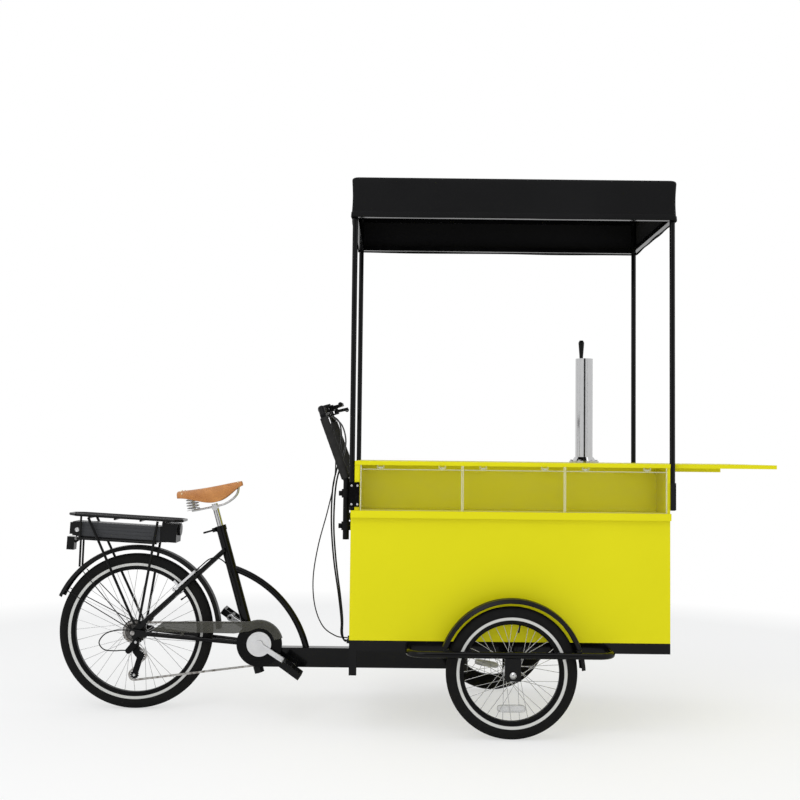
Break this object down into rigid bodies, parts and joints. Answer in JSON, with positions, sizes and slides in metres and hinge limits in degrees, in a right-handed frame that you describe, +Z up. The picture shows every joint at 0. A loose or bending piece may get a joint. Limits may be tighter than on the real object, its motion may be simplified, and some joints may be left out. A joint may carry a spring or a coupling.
{
  "type": "bicycle food cart",
  "caption": "Pedal food cart: a cabinet with display bays and canopy steers on its own wheel pair ahead of a driven rear wheel, saddle and battery rack.",
  "frame": {"origin": "on the floor, midway along the cart, in its middle plane", "axes": "+X towards the front shelf, +Y to the rider's left, +Z up"},
  "size_m": [2.9754, 1.056, 2.2119],
  "materials": {
    "black_paint": "satin black paint",
    "black_alloy": "black coating",
    "black_plastic": "matte",
    "smoked_plastic": "see-through smoke",
    "battery_case": "satin dark grey",
    "steel": "bare",
    "bright_steel": "polished",
    "alloy": "satin",
    "tyre": "moulded rubber with a light side stripe",
    "foam": "soft foam",
    "saddle_leather": "worn tan",
    "yellow_board": "yellow paint over board",
    "clear_acrylic": "clear sheet",
    "canopy_fabric": "woven black cloth"
  },
  "bodies": {
    "bike_frame": {"main_frame": "black_paint", "rear_stays": "black_paint", "rear_axle": "steel", "rear_rack": "black_paint", "battery_cradle": "black_plastic", "rear_mudguard": "black_plastic", "derailleur": "black_alloy", "chain": "steel", "chain_guard": "smoked_plastic", "frame_cables": "black_plastic"},
    "battery": {"battery_pack": "battery_case"},
    "saddle": {"seat_post": "bright_steel", "saddle_leather": "saddle_leather", "saddle_frame": "bright_steel"},
    "seat_lever": {"seat_clamp_lever": "black_alloy"},
    "right_brake_arm": {"brake_arm_right": "alloy"},
    "left_brake_arm": {"brake_arm_left": "alloy"},
    "rear_wheel": {"rear_tyre": "tyre", "rear_rim": "black_alloy", "rear_hub": "alloy", "rear_spokes": "steel"},
    "freewheel": {"freewheel": "steel"},
    "guide_wheel": {"guide_pulley": "black_plastic"},
    "tension_wheel": {"tension_pulley": "black_plastic"},
    "crank": {"crankset": "alloy", "chainring": "black_alloy"},
    "right_pedal": {"pedal_right": "black_plastic"},
    "left_pedal": {"pedal_left": "black_plastic"},
    "cart": {"base_frame": "black_paint", "wheel_guards": "black_paint", "front_mudguards": "black_plastic", "cabinet": "yellow_board", "counter_top": "yellow_board", "display_case": "clear_acrylic", "canopy_cover": "canopy_fabric", "canopy_frame": "black_paint", "handlebar_clamps": "black_alloy", "cart_cables": "black_plastic", "shelf_hinges": "steel", "tap_column": "bright_steel"},
    "right_wheel": {"right_tyre": "tyre", "right_rim": "black_alloy", "right_hub": "alloy", "right_spokes": "steel"},
    "left_wheel": {"left_tyre": "tyre", "left_rim": "black_alloy", "left_hub": "alloy", "left_spokes": "steel"},
    "handlebar": {"handlebar": "black_alloy", "handlebar_grips": "foam", "handlebar_controls": "black_plastic"},
    "right_lever": {"brake_lever_right": "black_alloy"},
    "left_lever": {"brake_lever_left": "black_alloy"},
    "shifter": {"gear_shifter": "black_plastic"},
    "shelf": {"front_shelf": "yellow_board"},
    "lid_rear": {"display_lid_rear": "clear_acrylic"},
    "lid_middle": {"display_lid_middle": "clear_acrylic"},
    "lid_front": {"display_lid_front": "clear_acrylic"},
    "tap_handle": {"tap_lever": "black_plastic"},
    "door": {"cabinet_door": "yellow_board"}
  },
  "joints": [
    {"name": "steering", "type": "hinge", "parent": "bike_frame", "child": "cart", "pos_m": [0.247, 0, 0.25], "axis": [0, 0, 1], "range_deg": [-32, 32]},
    {"name": "rear_wheel_spin", "type": "hinge", "parent": "bike_frame", "child": "rear_wheel", "pos_m": [-1.153, 0, 0.33], "axis": [0, 1, 0], "continuous": true},
    {"name": "right_wheel_spin", "type": "hinge", "parent": "cart", "child": "right_wheel", "pos_m": [0.413, -0.46, 0.256], "axis": [0, 1, 0], "continuous": true},
    {"name": "left_wheel_spin", "type": "hinge", "parent": "cart", "child": "left_wheel", "pos_m": [0.413, 0.46, 0.256], "axis": [0, 1, 0], "continuous": true},
    {"name": "crank_turn", "type": "hinge", "parent": "bike_frame", "child": "crank", "pos_m": [-0.618, 0, 0.287], "axis": [0, 1, 0], "continuous": true},
    {"name": "freewheel_spin", "type": "hinge", "parent": "bike_frame", "child": "freewheel", "pos_m": [-1.153, 0, 0.33], "axis": [0, 1, 0], "continuous": true},
    {"name": "guide_wheel_spin", "type": "hinge", "parent": "bike_frame", "child": "guide_wheel", "pos_m": [-1.122, -0.05, 0.232], "axis": [0, 1, 0], "continuous": true},
    {"name": "tension_wheel_spin", "type": "hinge", "parent": "bike_frame", "child": "tension_wheel", "pos_m": [-1.146, -0.05, 0.151], "axis": [0, 1, 0], "continuous": true},
    {"name": "right_pedal_turn", "type": "hinge", "parent": "crank", "child": "right_pedal", "pos_m": [-0.47383, -0.1, 0.19691], "axis": [0, 1, 0], "continuous": true},
    {"name": "left_pedal_turn", "type": "hinge", "parent": "crank", "child": "left_pedal", "pos_m": [-0.76217, 0.1, 0.37709], "axis": [0, 1, 0], "continuous": true},
    {"name": "seat_height", "type": "slide", "parent": "bike_frame", "child": "saddle", "axis": [-0.2773, 0, 0.9608], "range_m": [-0.055, 0.06]},
    {"name": "seat_lever_turn", "type": "hinge", "parent": "bike_frame", "child": "seat_lever", "pos_m": [-0.82703, -0.014, 0.76262], "axis": [0, -1, 0], "range_deg": [0, 90]},
    {"name": "right_brake_close", "type": "hinge", "parent": "bike_frame", "child": "right_brake_arm", "pos_m": [-0.98451, -0.049, 0.51134], "axis": [-0.6738, 0, 0.7389], "range_deg": [0, 3]},
    {"name": "left_brake_close", "type": "hinge", "parent": "bike_frame", "child": "left_brake_arm", "pos_m": [-0.98451, 0.049, 0.51134], "axis": [0.6738, 0, -0.7389], "range_deg": [0, 3]},
    {"name": "battery_out", "type": "slide", "parent": "bike_frame", "child": "battery", "axis": [-0.9986, 0, 0.0523], "range_m": [0, 0.4]},
    {"name": "handlebar_height", "type": "slide", "parent": "cart", "child": "handlebar", "axis": [0, 0, 1], "range_m": [-0.03, 0.03], "deforming": ["cart_cables"]},
    {"name": "right_lever_pull", "type": "hinge", "parent": "handlebar", "child": "right_lever", "pos_m": [-0.31732, -0.172, 1.28637], "axis": [0.2756, 0, -0.9613], "range_deg": [0, 20], "stiffness_Nm_per_rad": 0.6},
    {"name": "left_lever_pull", "type": "hinge", "parent": "handlebar", "child": "left_lever", "pos_m": [-0.31732, 0.172, 1.28637], "axis": [-0.2756, 0, 0.9613], "range_deg": [0, 20], "stiffness_Nm_per_rad": 0.6},
    {"name": "shifter_push", "type": "hinge", "parent": "handlebar", "child": "shifter", "pos_m": [-0.3202, -0.128, 1.2855], "axis": [-0.2756, 0, 0.9613], "range_deg": [0, 30]},
    {"name": "shelf_fold", "type": "hinge", "parent": "cart", "child": "shelf", "pos_m": [1.059, 0, 1.036], "axis": [0, 1, 0], "range_deg": [0, 90]},
    {"name": "lid_rear_lift", "type": "hinge", "parent": "cart", "child": "lid_rear", "pos_m": [0.01683, -0.394, 1.044], "axis": [-1, 0, 0], "range_deg": [0, 90]},
    {"name": "lid_middle_lift", "type": "hinge", "parent": "cart", "child": "lid_middle", "pos_m": [0.4245, -0.394, 1.044], "axis": [-1, 0, 0], "range_deg": [0, 90]},
    {"name": "lid_front_lift", "type": "hinge", "parent": "cart", "child": "lid_front", "pos_m": [0.83217, -0.394, 1.044], "axis": [-1, 0, 0], "range_deg": [0, 90]},
    {"name": "tap_pull", "type": "hinge", "parent": "cart", "child": "tap_handle", "pos_m": [0.785, 0.178, 1.48], "axis": [-1, 0, 0], "range_deg": [0, 35], "stiffness_Nm_per_rad": 0.5},
    {"name": "door_swing", "type": "hinge", "parent": "cart", "child": "door", "pos_m": [0.085, 0.388, 0.7], "axis": [0, 0, 1], "range_deg": [0, 110]}
  ],
  "couplings": [
    {"joint": "freewheel_spin", "follows": "crank_turn", "ratio": 2.2},
    {"joint": "guide_wheel_spin", "follows": "crank_turn", "ratio": -4},
    {"joint": "tension_wheel_spin", "follows": "crank_turn", "ratio": 4},
    {"joint": "right_brake_close", "follows": "right_lever_pull", "ratio": 0.15},
    {"joint": "left_brake_close", "follows": "right_lever_pull", "ratio": 0.15}
  ]
}
